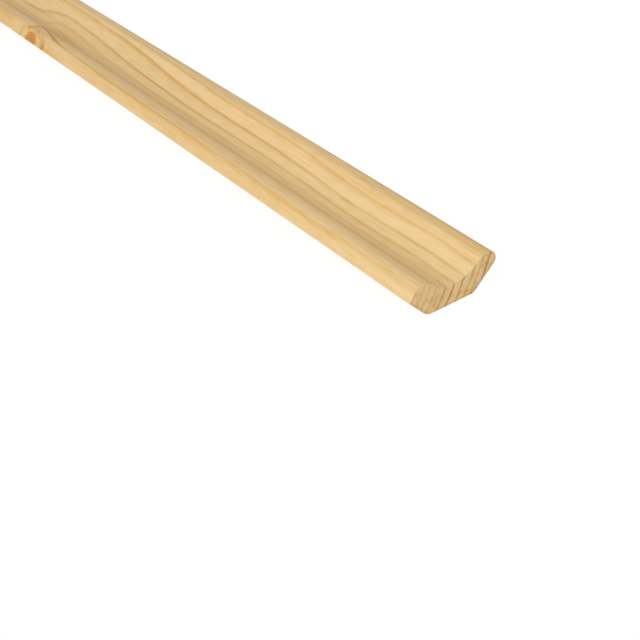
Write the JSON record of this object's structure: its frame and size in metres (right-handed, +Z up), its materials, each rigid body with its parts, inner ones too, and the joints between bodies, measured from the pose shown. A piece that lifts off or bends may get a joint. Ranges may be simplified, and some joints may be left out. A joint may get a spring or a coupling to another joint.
{
  "type": "corner moulding",
  "caption": "Long planed pine moulding with a shallow cove on its face and two bevels square to each other at the back, for covering an inside corner.",
  "frame": {"origin": "middle of the overall length and width, on the plane of the flat back", "axes": "+X along the length, +Y across towards the full round lip, +Z up out of the coved face"},
  "size_m": [2.4, 0.033, 0.012],
  "materials": {
    "pine": "planed bare pine, unfinished, with saw-cut ends"
  },
  "bodies": {
    "root": {"corner_moulding": "pine"}
  },
  "joints": []
}
